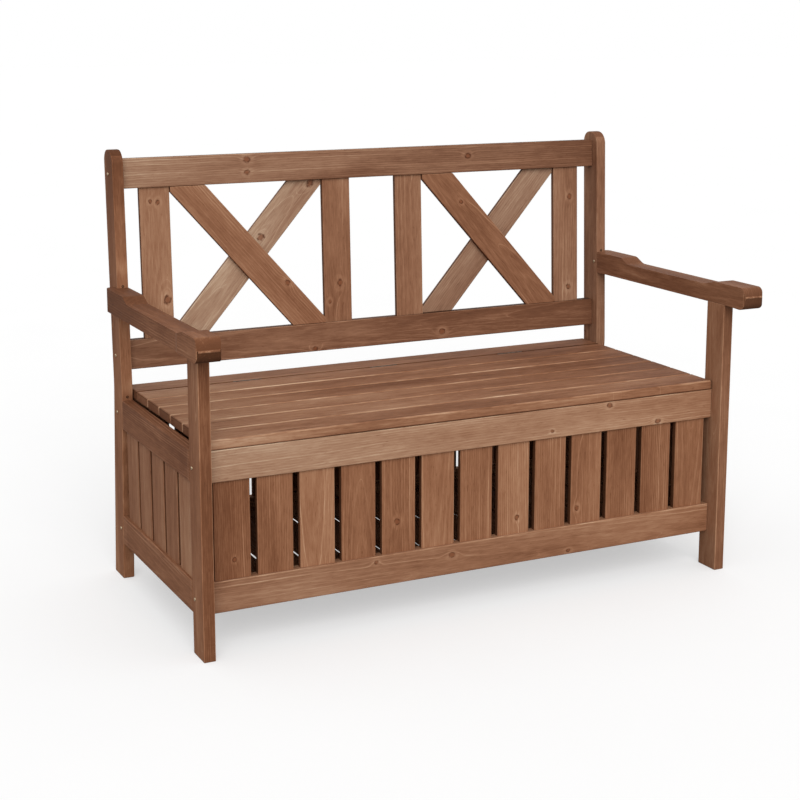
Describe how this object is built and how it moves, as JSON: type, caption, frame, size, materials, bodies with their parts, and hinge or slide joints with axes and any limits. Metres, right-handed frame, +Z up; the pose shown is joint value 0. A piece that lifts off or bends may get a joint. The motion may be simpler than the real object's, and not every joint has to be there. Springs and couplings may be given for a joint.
{
  "type": "garden storage bench",
  "caption": "Wooden garden bench with raked crossed-slat back, curved armrests and a slatted seat that lifts as the lid of a storage box",
  "frame": {"origin": "middle of the footprint on the ground: half-way across the width and the depth of the whole bench", "axes": "+X to the right of someone who looks at the front, +Y from the front to the back rest, +Z up"},
  "size_m": [1.15, 0.5999, 0.85],
  "materials": {
    "pine_frame": "reddish-brown stained pine, matt",
    "pine_slats": "reddish-brown stained pine, matt",
    "pine_back": "reddish-brown stained pine, matt",
    "pine_seat": "reddish-brown stained pine, matt",
    "pine_inside": "reddish-brown stained pine, matt",
    "hinge_steel": "dull zinc, weathered"
  },
  "bodies": {
    "frame": {"armrest_left": "pine_frame", "armrest_right": "pine_frame", "front_leg_left": "pine_frame", "front_leg_right": "pine_frame", "rear_post_left": "pine_frame", "rear_post_right": "pine_frame", "front_apron": "pine_frame", "front_bottom_rail": "pine_frame", "side_top_rail_left": "pine_frame", "side_top_rail_right": "pine_frame", "front_slat_01": "pine_slats", "front_slat_02": "pine_slats", "front_slat_03": "pine_slats", "front_slat_04": "pine_slats", "front_slat_05": "pine_slats", "front_slat_06": "pine_slats", "front_slat_07": "pine_slats", "front_slat_08": "pine_slats", "front_slat_09": "pine_slats", "front_slat_10": "pine_slats", "front_slat_11": "pine_slats", "front_slat_12": "pine_slats", "front_slat_13": "pine_slats", "side_slatted_panel_left": "pine_slats", "side_slatted_panel_right": "pine_slats", "back_top_rail": "pine_back", "back_bottom_rail": "pine_back", "back_slat_1": "pine_back", "back_slat_2": "pine_back", "back_slat_3": "pine_back", "back_slat_4": "pine_back", "back_diagonal_front_left": "pine_back", "back_diagonal_front_right": "pine_back", "back_diagonal_rear_left": "pine_back", "back_diagonal_rear_right": "pine_back", "seat_rear_slat": "pine_seat", "rear_slatted_panel": "pine_inside", "rear_top_rail": "pine_inside", "floor_panel": "pine_inside", "hinge_1_fixed_leaf": "hinge_steel", "hinge_1_pin": "hinge_steel", "hinge_2_fixed_leaf": "hinge_steel", "hinge_2_pin": "hinge_steel", "hinge_3_fixed_leaf": "hinge_steel", "hinge_3_pin": "hinge_steel"},
    "lid": {"lid_slat_1": "pine_seat", "lid_slat_2": "pine_seat", "lid_slat_3": "pine_seat", "lid_slat_4": "pine_seat", "lid_slat_5": "pine_seat", "lid_slat_6": "pine_seat", "lid_batten_1": "pine_inside", "lid_batten_2": "pine_inside", "lid_batten_3": "pine_inside", "hinge_1_moving_leaf": "hinge_steel", "hinge_2_moving_leaf": "hinge_steel", "hinge_3_moving_leaf": "hinge_steel"}
  },
  "joints": [
    {"name": "lid_hinge", "type": "hinge", "parent": "frame", "child": "lid", "pos_m": [0, 0.1994, 0.3856], "axis": [-1, 0, 0], "range_deg": [0, 96]}
  ]
}
